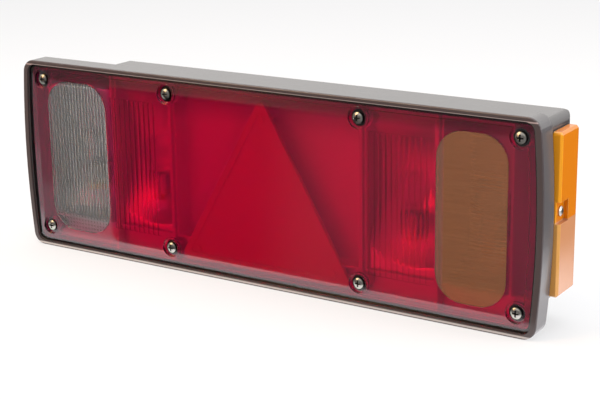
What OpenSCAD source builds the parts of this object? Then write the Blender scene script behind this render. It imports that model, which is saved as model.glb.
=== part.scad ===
// Rear combination lamp for a trailer, with an end-mounted side marker.
// The lamp faces -Y, its width runs along X and +Z is up.
// The origin lies on the rear mounting face, in the middle between the four studs.

/* [Housing] */
// Overall height of the front collar
lamp_h = 150; // [146:1:160]
// Depth from the front rim to the rear mounting face
lamp_d = 56; // [52:1:66]
// Radius of the collar's four corners
corner_r = 10; // [7:0.5:13]
// How far the short ends bow outwards over the full height
end_bow = 4; // [2:0.5:6]
// Depth of the wide collar that frames the lens
collar_d = 19; // [16:0.5:22]
// Step from the collar in to the deep body, at the top and the right end
body_step = 4.5; // [3.5:0.5:6]
// Distance from the collar's bottom to the deep body's bottom
body_in_low = 21.4; // [20:0.1:23]
// Distance from the collar's left end to the left wall of the full-height body
body_left_in = 61; // [50:1:70]
// Distance from the collar's left end to the low pocket behind the reversing lamp
pocket_left_in = 13; // [9:1:20]
// Distance from the collar's top to the low pocket's top
pocket_in_top = 15; // [11:0.5:20]
// Radius of the body's upright rear corners
body_r = 8; // [3:1:12]
// Radius along the body's upper long edges
body_top_r = 7; // [5:0.5:8]
// Radius along the body's lower long edges
body_low_r = 3; // [2.8:0.1:3.4]
// Chamfer along the rear top and bottom edges
rear_chamfer = 2.5; // [1:0.5:5]
// Radius of the collar's front edge
rim_r = 1.2; // [0.6:0.1:1.6]
// Radius of the collar's rear edge
collar_rear_r = 2; // [1:0.1:3]
// Moulded wall thickness
wall_t = 2.5; // [2:0.1:3]

/* [Chambers] */
// Distance from the collar's left end to the clear window
clear_in = 26.2; // [24:0.1:30]
// Width of the clear reversing window
clear_w = 57.5; // [48:0.5:62]
// Width of the stop lamp's chamber
stop_w = 55.7; // [50:0.1:66]
// Gap between the triangle's corners and the middles of the dividers beside them
triangle_side_gap = 7; // [5:0.5:10]
// Width of the fog lamp's chamber
fog_w = 59; // [50:0.1:66]
// Width of the amber indicator window
amber_w = 52.5; // [44:0.5:58]
// Distance from the amber window to the collar's right end
amber_in = 25.1; // [23:0.1:30]
// Thickness of the upright dividers between the chambers
divider_t = 2; // [1.2:0.1:3]
// Gap between a window and the divider beside it
window_gap = 0.5; // [0.2:0.1:1]

/* [Lens] */
// Width of the rim beside the lens at the short ends
rim_end = 4.4; // [3.5:0.1:5.5]
// Width of the rim above and below the lens
rim_side = 3.2; // [2.6:0.1:4]
// Depth of the lens face behind the rim
lens_set_back = 0.6; // [0.2:0.1:1.2]
// Thickness of the lens plate
lens_t = 2.6; // [2:0.1:3.4]
// Depth of the lens skirt behind its plate
lens_skirt = 2.1; // [1.6:0.1:3]
// Width of the sloping border of the lens
lens_slope_w = 10.5; // [6:0.5:12]
// Fall of the sloping border towards its edge
lens_slope_d = 2; // [1:0.1:2.4]
// Gap between neighbouring lens mouldings, and between lens and rim
lens_gap = 0.25; // [0.15:0.05:0.5]
// Thickness of the rubber gasket under the lens skirt
gasket_t = 1.2; // [0.8:0.1:2]
// Width of the rubber gasket
gasket_w = 2.4; // [1.6:0.1:2.6]

/* [Windows and flutes] */
// Distance from the collar's top to both windows
window_in_top = 14.1; // [12:0.1:18]
// Distance from the collar's bottom to both windows
window_in_low = 16.9; // [12:0.1:20]
// Corner radius of both windows
window_r = 20; // [16:0.5:24]
// Pitch of the upright flutes on the back of the clear window
flute_pitch = 2.9; // [2.4:0.1:4]
// Depth of those flutes
flute_d = 0.45; // [0.3:0.05:0.6]
// Pitch of the level ribs on the back of the amber window
rib_pitch = 2.6; // [2.2:0.1:4]
// Depth of those ribs
rib_d = 0.3; // [0.2:0.05:0.5]
// Pitch of the upright flutes on the back of the red lens, before the bulbs
red_flute_pitch = 4.4; // [3.6:0.1:6]
// Depth of those flutes
red_flute_d = 0.4; // [0.2:0.05:0.6]

/* [Lens screws] */
// Distance from the collar's left end to the outer screws
screw_in_left = 21; // [18:0.1:23]
// Distance from the collar's right end to the outer screws
screw_in_right = 18.2; // [16:0.1:21]
// Distance from the collar's top to the upper screws
screw_in_top = 14.6; // [13:0.1:17]
// Distance from the collar's bottom to the lower screws
screw_in_low = 16.8; // [14:0.1:19]
// Diameter of a screw head
screw_head = 9; // [7:0.5:10]
// Height of a screw head
screw_head_h = 2.4; // [1.8:0.1:3]
// Diameter of a screw shank
screw_shank = 4; // [3.5:0.1:4.5]
// Length of a screw under its head
screw_l = 16; // [12:1:22]
// Diameter of the counterbore round a screw head
counterbore = 14; // [11.5:0.5:15]
// Diameter of the housing posts that take the screws
post_dia = 12; // [9:0.5:13]

/* [Triangle reflector] */
// Distance from the collar's top to the triangle's tip, before its corner is rounded
triangle_in_top = 9.2; // [9:0.1:12]
// Distance from the collar's bottom to the triangle's base
triangle_in_low = 10.9; // [10:0.1:13]
// Radius of its corners
triangle_r = 4; // [2:0.5:6]
// Thickness of its plate
triangle_t = 3; // [2:0.1:4]
// Width of its raised border
triangle_border = 5; // [3:0.5:8]
// Diameter of the pillars that carry it
pillar_dia = 7; // [5:0.5:9]

/* [Reflector trays] */
// Wall thickness of a metallised tray
tray_t = 1.6; // [1.2:0.1:2.4]
// Depth of the trays' front edge behind the rim
tray_front = 9.5; // [8.5:0.5:14]
// Gap between a tray and the posts and dividers beside it
tray_gap = 0.6; // [0.3:0.1:1]
// Radius of the bowl hollowed in a tray
bowl_r = 80; // [76:1:92]
// How far the bowl would reach behind the tray's flat floor
bowl_sink = 14; // [12:0.5:18]
// Depth of the light plate behind the triangle
plate_y = 24; // [16:0.5:30]

/* [Bulbs] */
// Diameter of a bulb's globe
globe_dia = 25; // [20:0.5:26.5]
// Length of the glass above the cap
glass_l = 29.5; // [27:0.5:33]
// Diameter of a bulb's bayonet cap
cap_dia = 15; // [14:0.5:16]
// Length of a bulb's bayonet cap
cap_l = 17; // [15:0.5:20]
// Distance from the bulb's axis to the back of its tray
bulb_stand_off = 19; // [17:0.5:22]
// Wall thickness of the bulb holders
holder_t = 1.2; // [0.8:0.1:1.8]
// Running clearance of caps in holders and of rivets in their holes
seat_gap = 0.1; // [0.05:0.05:0.2]

/* [Side marker] */
// Distance from the collar's top to the side marker
marker_in_top = 12.5; // [10:0.5:16]
// Distance from the collar's bottom to the side marker
marker_in_low = 25.4; // [24.6:0.1:30]
// Depth of the side marker, front to back
marker_w = 28.5; // [26:0.5:31]
// Gap between the collar and the side marker
marker_gap = 0.5; // [0.3:0.1:2]
// How far the marker stands out past the collar
marker_proud = 3.2; // [1.5:0.1:4.5]
// Corner radius of the side marker
marker_r = 2.5; // [1.5:0.5:6]
// Wall thickness of the marker's amber lens
marker_t = 2; // [1.5:0.1:2.5]
// Width of the chamfer round the marker's face
marker_chamfer = 1.6; // [0.5:0.1:2]
// Height of the screw recess across the marker
recess_h = 15; // [12:0.5:18]
// Depth of the screw recess below the marker's face
recess_d = 3.2; // [2:0.1:4]
// Distance from the marker's top to the middle of the screw recess
recess_in = 54; // [52:0.5:58]
// Length of the festoon bulb
festoon_l = 31; // [28:1:33]
// Diameter of the festoon bulb
festoon_dia = 9; // [7:0.5:9.5]

/* [Mounting and wiring] */
// Distance from the stop lamp's right divider to the left studs
stud_in_side = 12.6; // [11.5:0.1:16]
// Distance from the deep body's bottom to the lower studs
stud_in_low = 13.6; // [12.5:0.1:18]
// Diameter of a mounting stud
stud_dia = 8; // [6:1:8]
// Length of a stud behind the mounting face
stud_l = 22; // [14:1:30]
// Diameter of the cable entry in the rear wall
entry_dia = 18; // [14:1:20]
// Distance from the left studs to the cable entry
entry_in_side = 28.1; // [26:0.1:32]
// Distance from the deep body's bottom to the cable entry
entry_in_low = 19.6; // [18:0.1:21]
// Wires that the terminal block takes
terminals = 7; // [5:1:8]

/* [Hidden] */
$fn = 48;

eps = 0.01;
over = 1;
least_r = 0.3;
corner_steps = 8;
end_steps = 12;
round_steps = 4;

// The chambers stand side by side and give the lamp its width, in whole tenths
triangle_h = lamp_h - triangle_in_top - triangle_in_low;
triangle_side = 2 * triangle_h / sqrt(3);
middle_w = round(10 * (triangle_side + 2 * triangle_side_gap)) / 10;
window_wall = divider_t / 2 + window_gap;
lamp_w = clear_in + clear_w + stop_w + middle_w + fog_w + amber_w + amber_in + 2 * window_wall;
half_w = lamp_w / 2;
half_h = lamp_h / 2;
divider_x0 = clear_in + clear_w + window_wall - half_w;
divider_x = [divider_x0, divider_x0 + stop_w, divider_x0 + stop_w + middle_w,
    divider_x0 + stop_w + middle_w + fog_w];
middle_x = (divider_x[1] + divider_x[2]) / 2;
clear_x = clear_in + clear_w / 2 - half_w;
amber_x = half_w - amber_in - amber_w / 2;
bow_r = (half_h * half_h + end_bow * end_bow) / (2 * end_bow);

// The deep body behind the collar
body_left = -half_w + body_left_in;
body_right = half_w - body_step;
body_z = [body_in_low - half_h, half_h - body_step];
pocket_left = -half_w + pocket_left_in;
pocket_z = [body_z[0], half_h - pocket_in_top];
rear_inner = lamp_d - wall_t;
collar_back = collar_d - wall_t;
collar_half_h = half_h - body_step - wall_t;

// The lens, its seat and its mouldings
lens_face = lens_set_back;
plate_back = lens_face + lens_t;
lens_back = plate_back + lens_skirt;
seat_y = lens_back + gasket_t;
lens_in_x = rim_end + lens_gap;
lens_in_z = rim_side + lens_gap;
lens_r = corner_r - rim_side - lens_gap;
hollow_in_x = lens_in_x + 6.5;
hollow_in_z = lens_in_z + 5;
window_z = [window_in_low - half_h, half_h - window_in_top];

// The screws, their posts and the chambers between them
screw_x = [screw_in_left - half_w, divider_x[1], divider_x[2], half_w - screw_in_right];
screw_z = [screw_in_low - half_h, half_h - screw_in_top];
boss_dia = counterbore + 2;
pilot_dia = screw_shank + 2 * seat_gap;
pilot_end = plate_back + screw_l + 1;
divider_front = lens_back + 2;

// The trays fill the chambers and have notches for the posts
tray_in = wall_t + tray_gap;
tray_z = [body_z[0] + tray_in, body_z[1] - tray_in];
low_tray_z = [body_z[0] + tray_in, pocket_z[1] - tray_in];
bowl_z = middle(tray_z);
divider_off = divider_t / 2 + tray_gap;
reversing_span = [pocket_left + body_r, divider_x[0] - divider_off];
stop_span = [divider_x[0] + divider_off, divider_x[1] - divider_off];
fog_span = [divider_x[2] + divider_off, divider_x[3] - divider_off];
indicator_span = [divider_x[3] + divider_off, screw_x[3] - post_dia / 2 - tray_gap];
middle_span = [divider_x[1] + divider_off, divider_x[2] - divider_off];
tray_floor = rear_inner - tray_t;
bowl_y = tray_floor + bowl_sink - bowl_r;
floor_r = sqrt(2 * bowl_r * bowl_sink - bowl_sink * bowl_sink);

// The bulbs stand upright in their holders, at a height in whole tenths
contact_w = 7;
contact_t = 0.8;
contact_drop = 9;
contact_lip = 4;
bulb_foot_z = round(10 * (bowl_z + contact_drop + 1.5 - floor_r)) / 10;
bulb_y = tray_floor - bulb_stand_off;
contact_y = bulb_y - 4;
cap_top_z = bulb_foot_z + cap_l;
pin_z = bulb_foot_z + 10;
pin_dia = 2;
pin_slot = pin_dia + 0.8;
foot_h = 1.2;
holder_r = cap_dia / 2 + seat_gap + holder_t;
holder_z = [bulb_foot_z + 5, bulb_foot_z + cap_l - 1];
holder_arm_x = holder_r * 0.6;
holder_plate_w = 22;
holder_plate_rise = 18;
holder_plate_z = [bulb_foot_z + 1, bulb_foot_z + cap_l + holder_plate_rise];
rivet_dia = 3;
rivet_in = 5;
rivet_pitch = 9;
rivet_head = 5;
rivet_head_h = 0.9;
rivet_z = [holder_plate_z[1] - rivet_in, holder_plate_z[1] - rivet_in - rivet_pitch];

// The triangle stands on three pillars in the middle chamber
triangle_y = lens_back + 0.9;
triangle_mid_z = triangle_in_low - half_h + triangle_h / 3;
pillar_in = 16;
triangle_face = triangle_y + 0.7;
stake_dia = 3;
stake_head = 5.4;
stake_rise = 0.2;
stake_l = 6;

// The side marker on the right end
marker_gasket_t = 1;
marker_base = body_right;
marker_foot = marker_base + marker_gasket_t;
marker_face = half_w + marker_proud;
marker_y = [collar_d + marker_gap, collar_d + marker_gap + marker_w];
marker_span_z = [marker_in_low - half_h, half_h - marker_in_top];
recess_z = marker_span_z[1] - recess_in;
marker_mid_y = (marker_y[0] + marker_y[1]) / 2;
recess_y1 = marker_y[0] + 13.5;
marker_screw_y = marker_y[0] + 7.5;
marker_screw_head = 7;
marker_screw_dia = 3.5;
marker_screw_l = 12;
marker_boss = 9;
marker_window_z = recess_z + recess_h / 2 + marker_t;
well_d = 10;
well_half_w = 8;
well_z = [marker_window_z + 2, marker_window_z + 2 + festoon_l + 4];
festoon_x = marker_base - 2.5;
festoon_z = (well_z[0] + well_z[1]) / 2;
festoon_cap_l = 5;
festoon_taper = 2.5;
festoon_tip = 3;
clip_t = 0.8;
clip_w = 8;
clip_grip = 0.6;
clip_reach = 4;

// Wiring in the middle chamber
terminal_pitch = 9;
terminal_w = terminals * terminal_pitch + 3;
terminal_x = [for (i = [0:terminals - 1]) middle_x + (i - (terminals - 1) / 2) * terminal_pitch];
terminal_screw_dia = 5;
terminal_mouth = 4;
terminal_h = 16;
terminal_t = 14;
stud_x = -divider_x[1] - stud_in_side;
stud_z = -body_z[0] - stud_in_low;
entry_x = entry_in_side - stud_x;
entry_z = body_z[0] + entry_in_low;
vent_x = stud_x - 24;
vent_z = body_z[1] - 26;
vent_dia = 6;
vent_cap_t = 3;
strip_z = entry_z + 18;
terminal_z = strip_z + 20;
strip_h = 7;
strip_t = 1;
strip_half_l = 52;
strip_hole_in = 5;
strip_holes = [for (side = [-1:1]) middle_x + side * (strip_half_l - strip_hole_in)];
strip_screw_head = 6;
strip_screw_dia = 3;
stud_neck_dia = stud_dia + 2;
stud_head_dia = 15;
stud_head_t = 3;
stud_tip = 1.2;
drain_w = 12;
drain_h = 3;
drain_y = lamp_d - 14;

// Helpers

// Points of a lens-shaped outline in X and Z: straight top and bottom, bowed ends, round corners.
// Each corner arc touches the bow and the straight edge.
function outline_points(in_x, in_z, r) =
    let (hw = half_w - in_x)
    let (hh = half_h - in_z)
    let (big = bow_r - in_x)
    let (zc = hh - r)
    let (reach = sqrt((big - r) * (big - r) - zc * zc))
    let (xc = hw - big + reach)
    let (lean = atan2(zc, reach))
    let (bow_a = [for (i = [0:end_steps]) -lean + 2 * lean * i / end_steps])
    let (arc_a = [for (i = [1:corner_steps]) lean + (90 - lean) * i / corner_steps])
    let (bow = [for (a = bow_a) [hw - big + big * cos(a), big * sin(a)]])
    let (arc = [for (a = arc_a) [xc + r * cos(a), zc + r * sin(a)]])
    let (low = [for (i = [corner_steps:-1:1]) [arc[i - 1][0], -arc[i - 1][1]]])
    let (right = concat(low, bow, arc))
    let (last = len(right) - 1)
    concat(right, [for (i = [last:-1:0]) [-right[i][0], right[i][1]]]);

// Points of a rectangle with round corners, from its lower left to its upper right corner.
function rounded_points(x0, y0, x1, y1, r, steps = 8) = section_points(x0, y0, x1, y1, r, r, steps);

// The same with one radius for the two lower corners and another for the two upper ones.
function section_points(x0, y0, x1, y1, low_r, top_r, steps = 8) =
    let (radii = [top_r, top_r, low_r, low_r])
    let (centres = [[x1 - top_r, y1 - top_r], [x0 + top_r, y1 - top_r],
        [x0 + low_r, y0 + low_r], [x1 - low_r, y0 + low_r]])
    [
        for (i = [0:3])
        for (k = [0:steps])
        let (a = 90 * i + 90 * k / steps)
        [centres[i][0] + radii[i] * cos(a), centres[i][1] + radii[i] * sin(a)]
    ];

// Points of an upright triangle with round corners, a given distance inside the full one.
function triangle_points(inside, r, steps = 6) =
    let (full = triangle_h - 3 * inside)
    let (top = [0, 2 * full / 3 - 2 * r])
    let (side = [full / sqrt(3) - r * sqrt(3), r - full / 3])
    let (centres = [side, top, [-side[0], side[1]]])
    [
        for (i = [0:2])
        for (k = [0:steps])
        let (a = -90 + 120 * i + 120 * k / steps)
        [centres[i][0] + r * cos(a), centres[i][1] + r * sin(a)]
    ];

// The middles of a row of flutes of equal width between two ends.
function flute_places(start, end, pitch) =
    let (count = floor((end - start) / pitch))
    let (step = (end - start) / count)
    [for (i = [0:count - 1]) start + (i + 0.5) * step];

// The radius of a round groove with the given width and depth.
function groove_r(width, depth) = (width * width / 4 + depth * depth) / (2 * depth);

function middle(span) = (span[0] + span[1]) / 2;

// Puts a part drawn from the front rim backwards into the lamp's frame.
module placed() {
    translate([0, -lamp_d, 0])
        children();
}

// Extrudes a shape drawn in X and Z along Y, between two depths.
module along_y(y0, y1) {
    translate([0, y1, 0])
        rotate([90, 0, 0])
            linear_extrude(height = y1 - y0)
                children();
}

// Extrudes a shape drawn in Y and Z along X.
module along_x(x0, x1) {
    translate([x0, 0, 0])
        rotate([90, 0, 90])
            linear_extrude(height = x1 - x0)
                children();
}

// A box between two corners.
module block(low, high) {
    translate(low)
        cube(high - low);
}

// A round bar along Y.
module rod_y(x, z, dia, y0, y1) {
    translate([x, y1, z])
        rotate([90, 0, 0])
            cylinder(d = dia, h = y1 - y0);
}

// A round bar along X.
module rod_x(y, z, dia, x0, x1) {
    translate([x0, y, z])
        rotate([0, 90, 0])
            cylinder(d = dia, h = x1 - x0);
}

module outline(in_x, in_z, r) {
    polygon(outline_points(in_x, in_z, r));
}

// Round grooves side by side along X, upright, cut into a back face from behind.
module upright_flutes(start, end, z0, z1, back, pitch, depth) {
    r = groove_r(pitch, depth);
    for (x = flute_places(start, end, pitch))
        translate([x, back - depth + r, z0])
            cylinder(r = r, h = z1 - z0);
}

// Round grooves one above the other, level, cut into a back face from behind.
module level_flutes(x0, x1, low, high, back, pitch, depth) {
    r = groove_r(pitch, depth);
    for (z = flute_places(low, high, pitch))
        rod_x(back - depth + r, z, 2 * r, x0, x1);
}

module at_screws() {
    for (x = screw_x)
        for (z = screw_z)
            translate([x, 0, z])
                children();
}

// Housing

// The deep body or its hollow, with the given distance inside its outline: a front section with
// round corners, round upright rear corners, and chamfers along the top and bottom of the rear.
module body_block(left, right, z, inside, front, back) {
    x0 = left + inside;
    x1 = right - inside;
    z0 = z[0] + inside;
    z1 = z[1] - inside;
    rear = back - inside;
    r = body_r - inside;
    plan = concat(
        [[x0, front]],
        [[x1, front]],
        [for (k = [0:8]) [x1 - r + r * cos(k * 90 / 8), rear - r + r * sin(k * 90 / 8)]],
        [for (k = [0:8]) [x0 + r - r * sin(k * 90 / 8), rear - r + r * cos(k * 90 / 8)]]
    );
    side = [
        [front, z0], [rear - rear_chamfer, z0], [rear, z0 + rear_chamfer],
        [rear, z1 - rear_chamfer], [rear - rear_chamfer, z1], [front, z1]
    ];
    intersection() {
        translate([0, 0, z0])
            linear_extrude(height = z1 - z0)
                polygon(plan);
        along_x(x0 - over, x1 + over)
            polygon(side);
        along_y(front - over, rear + over)
            polygon(section_points(x0, z0, x1, z1, max(body_low_r - inside, least_r),
                max(body_top_r - inside, least_r)));
    }
}

// A thin slice of the collar between two depths, moved inside its outline.
module collar_slice(front, back, inside) {
    along_y(front, back)
        outline(inside, inside, corner_r - inside);
}

// The collar's solid form, with round front and rear edges.
module collar_block() {
    hull() {
        collar_slice(rim_r, collar_d - collar_rear_r, 0);
        for (k = [0:round_steps - 1]) {
            back = 1 - cos(90 * k / round_steps);
            inside = 1 - sin(90 * k / round_steps);
            collar_slice(rim_r * back, rim_r * back + eps, rim_r * inside);
            collar_slice(collar_d - collar_rear_r * back - eps, collar_d - collar_rear_r * back,
                collar_rear_r * inside);
        }
    }
}

module housing_shell() {
    difference() {
        union() {
            collar_block();
            body_block(body_left, body_right, body_z, 0, collar_back, lamp_d);
            body_block(pocket_left, body_left + body_r + wall_t, pocket_z, 0, collar_back, lamp_d);
        }
        along_y(-over, seat_y)
            outline(rim_end, rim_side, corner_r - rim_side);
        along_y(seat_y - eps, collar_back)
            outline(rim_end + gasket_w + 0.6, half_h - collar_half_h, corner_r - rim_side - gasket_w);
        body_block(body_left, body_right - 0.5, body_z, wall_t, collar_back - over, lamp_d);
        body_block(pocket_left, body_left + 2 * body_r + wall_t, pocket_z, wall_t,
            collar_back - over, lamp_d);
    }
}

module housing_dividers() {
    for (x = divider_x) {
        block([x - divider_t / 2, divider_front, -collar_half_h - eps],
            [x + divider_t / 2, collar_back + eps, collar_half_h + eps]);
        block([x - divider_t / 2, collar_back, body_z[0] + wall_t - eps],
            [x + divider_t / 2, rear_inner + eps, body_z[1] - wall_t + eps]);
    }
}

// The lower posts and the upper left one end behind the collar, and the others on the rear wall.
module housing_posts() {
    for (x = screw_x)
        for (z = screw_z)
            rod_y(x, z, post_dia, lens_back,
                x < body_left || z < 0 ? pilot_end + wall_t : rear_inner + wall_t / 2);
    for (p = pillar_places())
        rod_y(p[0], p[1], pillar_dia, triangle_y + triangle_t,
            (p[1] < body_z[0] + wall_t ? collar_back : rear_inner) + wall_t / 2);
}

// The well behind the side marker that holds its bulb, and the boss for the marker's screw.
module marker_well_wall() {
    block([marker_base - well_d - wall_t, marker_mid_y - well_half_w - wall_t, well_z[0] - wall_t],
        [marker_base - eps, marker_mid_y + well_half_w + wall_t, well_z[1] + wall_t]);
    rod_x(marker_screw_y, recess_z, marker_boss, marker_base - marker_screw_l, marker_base - eps);
}

module housing() {
    color("#2e2d2f")
        placed()
            difference() {
                union() {
                    housing_shell();
                    housing_dividers();
                    housing_posts();
                    marker_well_wall();
                }
                at_screws()
                    rod_y(0, 0, pilot_dia, lens_back - over, pilot_end);
                for (p = pillar_places())
                    rod_y(p[0], p[1], stake_dia + 2 * seat_gap, triangle_y + triangle_t - over,
                        triangle_y + triangle_t + stake_l + over);
                block([marker_base - well_d, marker_mid_y - well_half_w, well_z[0]],
                    [marker_base + over, marker_mid_y + well_half_w, well_z[1]]);
                rod_x(marker_screw_y, recess_z, marker_screw_dia + 2 * seat_gap,
                    marker_base - marker_screw_l + over, marker_base + over);
                for (x = [-stud_x, stud_x])
                    for (z = [-stud_z, stud_z])
                        rod_y(x, z, stud_neck_dia + 2 * seat_gap, rear_inner - over, lamp_d + over);
                rod_y(entry_x, entry_z, entry_dia, rear_inner - over, lamp_d + over);
                rod_y(vent_x, vent_z, vent_dia, rear_inner - over, lamp_d + over);
                drain_slots();
            }
}

// A slot under the stop lamp and one under the fog lamp let condensation out.
module drain_slots() {
    for (span = [stop_span, fog_span])
        block([middle(span) - drain_w / 2, drain_y, body_z[0] - over],
            [middle(span) + drain_w / 2, drain_y + drain_h, body_z[0] + wall_t + over]);
}

// Lens and gasket

module lens_gasket() {
    color("#1a1a1a")
        placed()
            difference() {
                along_y(lens_back, seat_y)
                    outline(lens_in_x, lens_in_z, lens_r);
                along_y(lens_back - over, seat_y + over)
                    outline(lens_in_x + gasket_w, lens_in_z + gasket_w, lens_r - gasket_w);
            }
}

// The wedge taken off one border of the lens, whose edge lies at the given distance from the middle.
module slope_cut(reach, length) {
    inside = reach - lens_slope_w;
    fall = lens_slope_d / lens_slope_w;
    wide = lens_slope_w + 2 * over;
    rotate([0, -90, 0])
        linear_extrude(height = length, center = true)
            polygon([[inside, lens_face], [inside + wide, lens_face + fall * wide],
                [inside + wide, -over], [inside, -over]]);
}

module lens_blank() {
    reach_z = half_h - lens_in_z;
    reach_x = half_w - lens_in_x;
    difference() {
        along_y(lens_face, lens_back)
            outline(lens_in_x, lens_in_z, lens_r);
        slope_cut(reach_z, 2 * lamp_w);
        rotate([0, 180, 0])
            slope_cut(reach_z, 2 * lamp_w);
        rotate([0, 90, 0])
            slope_cut(reach_x, 2 * lamp_h);
        rotate([0, -90, 0])
            slope_cut(reach_x, 2 * lamp_h);
    }
}

module window_shape(cx, width, inside) {
    polygon(rounded_points(cx - width / 2 + inside, window_z[0] + inside,
        cx + width / 2 - inside, window_z[1] - inside, window_r - inside));
}

// The flutes on the back of the red lens, before one bulb.
module red_flutes(left, right) {
    upright_flutes(left, right, screw_z[0] + boss_dia / 2, screw_z[1] - boss_dia / 2, plate_back,
        red_flute_pitch, red_flute_d);
}

module red_lens() {
    color("#b5122b")
        placed()
            difference() {
                union() {
                    difference() {
                        lens_blank();
                        along_y(plate_back, lens_back + over)
                            outline(hollow_in_x, hollow_in_z, 4);
                    }
                    at_screws()
                        rod_y(0, 0, boss_dia, plate_back - lens_t / 2, lens_back);
                }
                at_screws()
                    rod_y(0, 0, counterbore, -over, plate_back);
                at_screws()
                    rod_y(0, 0, screw_shank + 0.6, 0, lens_back + over);
                along_y(-over, lens_back + over)
                    window_shape(clear_x, clear_w, 0);
                along_y(-over, lens_back + over)
                    window_shape(amber_x, amber_w, 0);
                red_flutes(divider_x[0] + divider_t, divider_x[1] - boss_dia / 2);
                red_flutes(divider_x[2] + boss_dia / 2, divider_x[3] - divider_t);
            }
}

// The clear window has upright flutes on its back, crossed by level ones at its foot.
module reversing_window() {
    left = clear_x - clear_w / 2;
    right = clear_x + clear_w / 2;
    color("#cfcaca")
        placed()
            difference() {
                along_y(lens_face, plate_back)
                    window_shape(clear_x, clear_w, lens_gap);
                upright_flutes(left, right, window_z[0], window_z[1], plate_back, flute_pitch, flute_d);
                level_flutes(left, right, window_z[0], window_z[0] + 5 * flute_pitch, plate_back,
                    flute_pitch, flute_d);
            }
}

// The amber window has level ribs on its back.
module indicator_window() {
    color("#9a5a2c")
        placed()
            difference() {
                along_y(lens_face, plate_back)
                    window_shape(amber_x, amber_w, lens_gap);
                level_flutes(amber_x - amber_w / 2, amber_x + amber_w / 2, window_z[0], window_z[1],
                    plate_back, rib_pitch, rib_d);
            }
}

// A pan head with a crowned top, a cross recess and a plain shank with a blunt point.
module pan_screw(head_dia, head_h, shank_dia, shank_l) {
    edge_h = head_h * 0.45;
    crown = head_h - edge_h;
    head_r = head_dia / 2;
    shank_r = shank_dia / 2;
    rise_r = (head_r * head_r + crown * crown) / (2 * crown);
    sweep = asin(head_r / rise_r);
    profile = concat(
        [[0, -shank_l], [shank_r * 0.3, -shank_l], [shank_r, shank_r - shank_l], [shank_r, 0], [head_r, 0]],
        [for (k = [6:-1:0])
            let (a = sweep * k / 6)
            [rise_r * sin(a), head_h - rise_r + rise_r * cos(a)]]
    );
    difference() {
        rotate([90, 0, 0])
            rotate_extrude()
                polygon(profile);
        for (turn = [0, 90])
            rotate([0, turn, 0])
                block([-head_dia * 0.27, -head_h - over, -head_dia * 0.065],
                    [head_dia * 0.27, -head_h * 0.35, head_dia * 0.065]);
    }
}

module lens_screws() {
    color("#c9c9c6")
        placed()
            at_screws()
                translate([0, plate_back, 0])
                    pan_screw(screw_head, screw_head_h, screw_shank, screw_l);
}

// Triangle reflector

function pillar_places() = [
    [middle_x, triangle_mid_z + 2 * triangle_h / 3 - pillar_in],
    [middle_x - triangle_side / 2 + pillar_in, triangle_mid_z - triangle_h / 3 + pillar_in / 2],
    [middle_x + triangle_side / 2 - pillar_in, triangle_mid_z - triangle_h / 3 + pillar_in / 2]
];

// The plate's middle lies a third of its height over its base.
module triangle_reflector() {
    color("#8e0f22")
        placed()
            difference() {
                translate([middle_x, 0, triangle_mid_z])
                    difference() {
                        along_y(triangle_y, triangle_y + triangle_t)
                            polygon(triangle_points(0, triangle_r));
                        along_y(triangle_y - over, triangle_face)
                            polygon(triangle_points(triangle_border, triangle_r / 2));
                    }
                for (p = pillar_places())
                    rod_y(p[0], p[1], stake_dia + 2 * seat_gap, triangle_y - over,
                        triangle_y + triangle_t + over);
            }
}

module triangle_caps() {
    color("#3a0a12")
        placed()
            for (p = pillar_places())
                union() {
                    rod_y(p[0], p[1], stake_head, triangle_y - stake_rise, triangle_face);
                    rod_y(p[0], p[1], stake_dia, triangle_y, triangle_y + triangle_t + stake_l);
                }
}

// Reflector trays

module tray_post_notches(inside, front, back) {
    at_screws()
        rod_y(0, 0, post_dia + 2 * tray_gap + 2 * inside, front - over, back + over);
}

// A chamber's room with its walls moved in, and with notches for the posts that stand in it.
module tray_room(span, z, inside, front, back) {
    difference() {
        block([span[0] + inside, front, z[0] + inside], [span[1] - inside, back, z[1] - inside]);
        tray_post_notches(inside, front, back);
    }
}

// The apron of a tray covers the ledge between the deep body and the collar's bottom.
module tray_apron(span) {
    difference() {
        block([span[0], collar_back - tray_t, tray_gap - collar_half_h],
            [span[1], collar_back, tray_z[0] + eps]);
        tray_post_notches(0, collar_back - tray_t, collar_back);
    }
}

module bowl(span, r) {
    translate([middle(span), bowl_y, bowl_z])
        sphere(r = r, $fn = 96);
}

// A tray has upright walls in front, a bowl at the back and an apron at its foot.
module tray(span, z) {
    color("#d8d8da")
        placed()
            difference() {
                union() {
                    intersection() {
                        tray_room(span, z, 0, tray_front, rear_inner);
                        bowl(span, bowl_r + tray_t);
                    }
                    tray_apron(span);
                }
                intersection() {
                    tray_room(span, z, tray_t, tray_front - over, tray_floor);
                    bowl(span, bowl_r);
                }
                for (z = rivet_z)
                    rod_y(middle(span), z, rivet_dia + 2 * seat_gap, tray_floor - over, rear_inner + over);
            }
}

module reversing_tray() {
    tray(reversing_span, low_tray_z);
}

module stop_tray() {
    tray(stop_span, tray_z);
}

module fog_tray() {
    tray(fog_span, tray_z);
}

module indicator_tray() {
    tray(indicator_span, tray_z);
}

// A light plate hides the wiring behind the triangle. Its walls stand on the rear wall.
module middle_plate() {
    color("#d8d8da")
        placed()
            difference() {
                union() {
                    intersection() {
                        tray_room(middle_span, tray_z, 0, tray_front, rear_inner);
                        body_block(body_left, body_right, body_z, tray_in, tray_front, rear_inner + tray_in);
                    }
                    tray_apron(middle_span);
                }
                tray_room(middle_span, tray_z, tray_t, tray_front - over, plate_y);
                tray_room(middle_span, tray_z, tray_t, plate_y + tray_t, rear_inner + over);
                for (p = pillar_places())
                    rod_y(p[0], p[1], pillar_dia + 2 * tray_gap, collar_back - tray_t - over,
                        plate_y + tray_t + over);
            }
}

// Bulb holders, bulbs and contacts

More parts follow.
